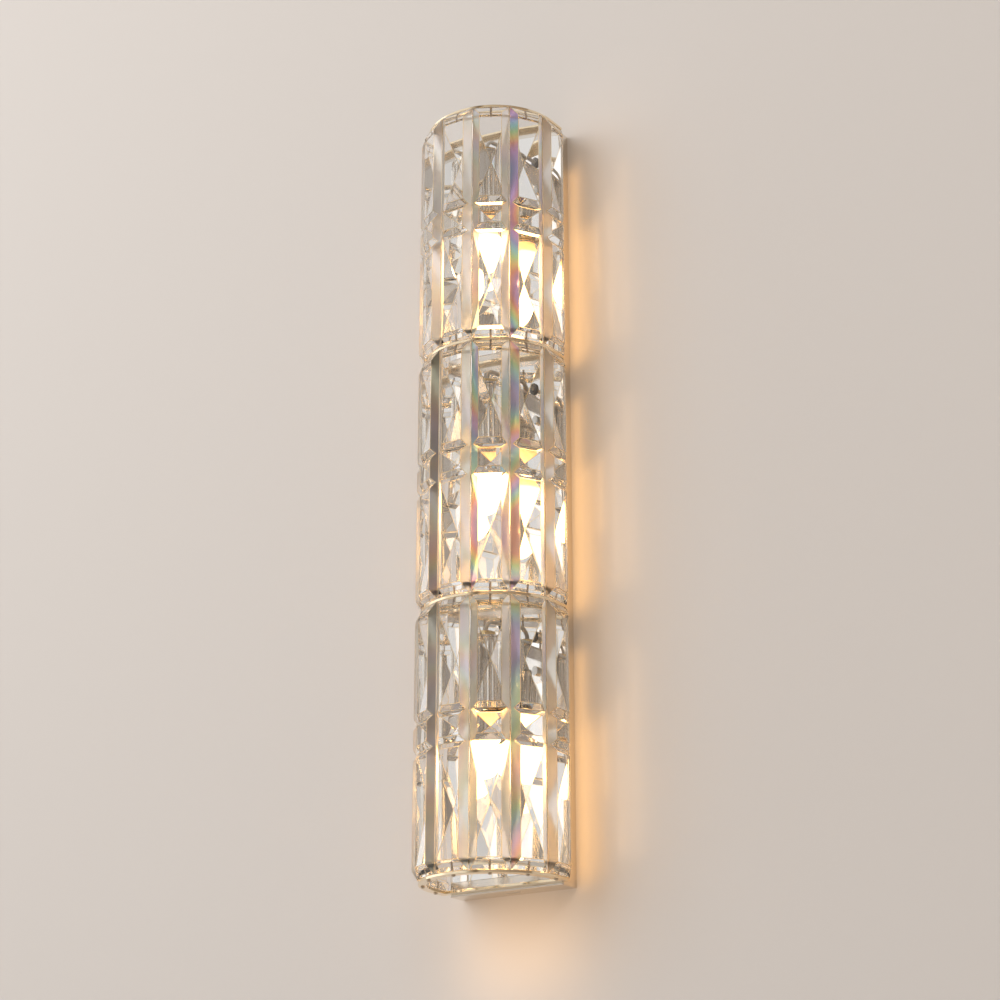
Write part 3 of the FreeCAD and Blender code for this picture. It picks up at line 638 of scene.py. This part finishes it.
def sleevePiece(look, tier):
    # a turned cup whose outer wall is cut by round flutes with round ends: from the square of the
    # flute's radius, the squares of the distance across the flute and of that past its straight
    # part are taken off, and the root of the rest shows above the radius less the flute's depth
    node = "holder_sleeve_%d" % tier
    low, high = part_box(node)
    middle = (low + high) / 2
    radius = (high.x - low.x) / 2
    inner = radius - look["wall"]
    foot, top, lip = low.z, high.z, look["lip"]
    fluteFoot = foot + look["endMargin"] + look["fluteRadius"]
    fluteTop = top - look["endMargin"] - look["fluteRadius"]
    ends = np.linspace(0, look["fluteRadius"], look["endRows"])
    straight = np.linspace(fluteFoot, fluteTop, look["straightRows"])[1:-1]
    wall = np.concatenate([[foot + lip], np.sort(fluteFoot - ends), straight, fluteTop + ends,
                           [top - 2 * lip]])
    corner = np.linspace(0, math.pi / 2, look["lipRows"])
    edge = np.stack([radius - 2 * lip * (1 - np.cos(corner)), top - 2 * lip * (1 - np.sin(corner))], axis=1)
    profile = np.concatenate([[(inner, foot + lip), (inner + lip, foot), (radius - lip, foot)],
                              np.stack([np.full_like(wall, radius), wall], axis=1)[:-1], edge,
                              [(look["hole"], top), (look["hole"], top - look["top"]),
                               (inner, top - look["top"])]])
    columns = look["flutes"] * look["columnsInFlute"]
    pitch = 2 * math.pi / look["flutes"]
    across = radius * ((fullTurn(columns) + pitch / 2) % pitch - pitch / 2)
    past = np.maximum(np.maximum(fluteFoot - profile[:, 1], profile[:, 1] - fluteTop), 0)[:, None]
    ball = np.maximum(look["fluteRadius"] ** 2 - across ** 2 - past ** 2, 0)
    cut = np.maximum(np.sqrt(ball) - (look["fluteRadius"] - look["fluteDepth"]), 0)
    cut = np.where(np.abs(profile[:, :1] - radius) < weldDistance, cut, 0)
    piece = meshObject("flutedSleeve_%d" % tier,
                       *turned(profile[:, :1] - cut, profile[:, 1:], middle, columns, closed=True))
    shadeSmooth(piece, look["sharp"])
    standFor(piece, node, made["sleeveChrome"], "sconce")


opal = bulbMaterial(bulbLook)
for tier in tiers:
    bulbPiece(bulbLook, tier, opal)
    capPiece(capLook, tier)
    sleevePiece(sleeveLook, tier)
print("lamps made and lit:", len(tiers))


# wall, floor, light and camera

stageLook = dict(wall=(0.67, 0.640, 0.617), floor=(0.60, 0.56, 0.52), roughness=0.9, specular=0.1,
                 wallSize=8.0, floorDrop=1.3, openingInset=1.0 * mm)


def oneSidedMaterial(name, colour):
    # plain paint seen from its front, and nothing seen from behind
    material, shader = newMaterial(name)
    tree = material.node_tree
    shader.inputs["Base Color"].default_value = (*colour, 1.0)
    shader.inputs["Roughness"].default_value = stageLook["roughness"]
    shader.inputs["Specular IOR Level"].default_value = stageLook["specular"]
    geometry = addNode(tree, "ShaderNodeNewGeometry")
    clear = addNode(tree, "ShaderNodeBsdfTransparent")
    mix = addNode(tree, "ShaderNodeMixShader")
    join(tree, geometry.outputs["Backfacing"], mix.inputs[0])
    join(tree, shader.outputs[0], mix.inputs[1])
    join(tree, clear.outputs[0], mix.inputs[2])
    join(tree, mix.outputs[0], tree.nodes["Material Output"].inputs["Surface"])
    return material


def stagePlane(name, corners, faces, colour):
    mesh = bpy.data.meshes.new(name)
    mesh.from_pydata(corners, [], faces)
    plane = bpy.data.objects.new(name, mesh)
    bpy.context.scene.collection.objects.link(plane)
    mesh.materials.append(oneSidedMaterial(name + "Paint", colour))
    return plane


def wallRing(x0, x1, z0, z1):
    return [(x0, 0, z0), (x1, 0, z0), (x1, 0, z1), (x0, 0, z1)]


# the wall is open behind the plate, so that light reaches the plate's inside in a view from behind
reach = stageLook["wallSize"] / 2
floorLevel = -stageLook["floorDrop"]
inset = stageLook["openingInset"]
wallCorners = wallRing(-reach, reach, floorLevel, reach)
wallCorners += wallRing(plateLow.x + inset, plateHigh.x - inset, plateLow.z + inset, plateHigh.z - inset)
wall = stagePlane("wall", wallCorners, [(0, 1, 5, 4), (1, 2, 6, 5), (2, 3, 7, 6), (3, 0, 4, 7)],
                  stageLook["wall"])
stagePlane("floor", [(-reach, -2 * reach, floorLevel), (reach, -2 * reach, floorLevel),
                     (reach, 0, floorLevel), (-reach, 0, floorLevel)], [(0, 1, 2, 3)], stageLook["floor"])


def softLight(name, place, target, size, power, colour):
    light = bpy.data.lights.new(name, "AREA")
    light.shape = "RECTANGLE"
    light.size, light.size_y = size
    light.energy = power
    light.color = colour
    lamp = bpy.data.objects.new(name, light)
    lamp.location = place
    lamp.rotation_euler = (Vector(target) - Vector(place)).to_track_quat("-Z", "Y").to_euler()
    bpy.context.scene.collection.objects.link(lamp)
    return lamp


def hideFromGloss(lamp):
    # it lights paint and other dull surfaces, and doesn't show in metal, in mirrors or through glass
    lamp.visible_camera = False
    lamp.visible_glossy = False
    lamp.visible_transmission = False


keyLook = dict(place=(-1.5, -2.1, 1.0), size=(2.2, 2.2), power=38.0, colour=(0.985, 0.995, 1.0))
fillLook = dict(place=(1.9, -2.5, 1.4), size=(1.0, 1.0), power=10.0, colour=(1.0, 0.90, 0.80))
for name, look in (("keyLight", keyLook), ("fillLight", fillLook)):
    hideFromGloss(softLight(name, look["place"], (0, 0, 0), look["size"], look["power"], look["colour"]))

# light from the lamps that falls on the wall, as upright bands with their places and sizes in
# millimetres: each drop is how far the band's middle lies below the middle of its tier, or for the
# light from the open foot, below the foot of the plate
gold, amber, peach = (1.0, 0.52, 0.15), (1.0, 0.56, 0.20), (1.0, 0.66, 0.36)
glowLook = dict(bands=[dict(x=53, y=-8, width=4, length=170, drop=14, power=0.0052, colour=gold),
                       dict(x=62, y=-13, width=5, length=110, drop=40, power=0.0044, colour=gold),
                       dict(x=72, y=-60, width=20, length=198, drop=0, power=0.0200, colour=peach),
                       dict(x=73, y=-5, width=1, length=60, drop=10, power=0.0003, colour=amber),
                       dict(x=86, y=-6, width=2, length=120, drop=25, power=0.0006, colour=peach),
                       dict(x=98, y=-8, width=3, length=150, drop=10, power=0.0009, colour=peach),
                       dict(x=-66, y=-50, width=16, length=198, drop=0, power=0.0070, colour=amber)],
                foot=dict(x=2, y=-45, width=90, length=60, drop=36, power=0.0210, colour=amber))


def wallGlow(look, wallOnly):
    bands = [(middleOf("mirror_panel_%d" % tier).z, band) for tier in tiers for band in look["bands"]]
    bands.append((plateLow.z, look["foot"]))
    for middle, band in bands:
        x, y, level = band["x"] * mm, band["y"] * mm, middle - band["drop"] * mm
        lamp = softLight("lampGlow", (x, y, level), (x, 0, level),
                         (band["width"] * mm, band["length"] * mm), band["power"], band["colour"])
        hideFromGloss(lamp)
        lamp.light_linking.receiver_collection = wallOnly


wallOnly = bpy.data.collections.new("wallOnly")
wallOnly.objects.link(wall)
wallGlow(glowLook, wallOnly)

# what the mirrors and the glass show of the room, as pairs of the direction's x and a colour
roomLook = dict(strength=0.80, tones=[(-1.0, (1.8, 1.75, 1.7)), (-0.78, (1.8, 1.75, 1.7)),
                                      (-0.70, (1.10, 1.08, 1.06)), (-0.20, (1.06, 1.04, 1.02)),
                                      (-0.06, (0.52, 0.46, 0.40)), (0.10, (0.20, 0.15, 0.11)),
                                      (0.22, (0.70, 0.62, 0.54)), (0.60, (0.58, 0.49, 0.41)),
                                      (1.0, (0.36, 0.28, 0.22))])


def roomWorld(look):
    # pale towards the left of the room, dark ahead and brown towards its right
    world = bpy.data.worlds.new("room")
    bpy.context.scene.world = world
    world.use_nodes = True
    tree = world.node_tree
    background = tree.nodes["Background"]
    coordinates = addNode(tree, "ShaderNodeTexCoord")
    split = addNode(tree, "ShaderNodeSeparateXYZ")
    join(tree, coordinates.outputs["Generated"], split.inputs[0])
    side = spread(tree, split.outputs["X"], (-1.0, 1.0), (0.0, 1.0))
    ramp = toneRamp(tree, side, [((x + 1) / 2, tone) for x, tone in look["tones"]])
    join(tree, ramp, background.inputs["Color"])
    background.inputs["Strength"].default_value = look["strength"]


roomWorld(roomLook)

# the pitch is in radians, the azimuth and the yaw in degrees, the focal length and the sensor in
# millimetres
cameraLook = dict(distance=1.5, azimuth=33.229, height=-0.5562, pitch=0.3553, yaw=0.532, focal=75.48,
                  sensor=36.0, near=0.01, far=50.0)
lightPaths = dict(max_bounces=32, transmission_bounces=32, glossy_bounces=12)


def placeCamera(look):
    camera = bpy.data.objects.new("camera", bpy.data.cameras.new("camera"))
    camera.data.lens = look["focal"]
    camera.data.sensor_width = look["sensor"]
    azimuth = math.radians(look["azimuth"])
    camera.location = (look["distance"] * math.sin(azimuth), -look["distance"] * math.cos(azimuth),
                       look["height"])
    camera.rotation_euler = (math.pi / 2 + look["pitch"], 0, azimuth + math.radians(look["yaw"]))
    camera.data.clip_start = look["near"]
    camera.data.clip_end = look["far"]
    bpy.context.scene.collection.objects.link(camera)
    bpy.context.scene.camera = camera


placeCamera(cameraLook)
bpy.context.scene.view_settings.view_transform = "Standard"
for name, count in lightPaths.items():
    setattr(bpy.context.scene.cycles, name, count)
print("stage, light and camera set")
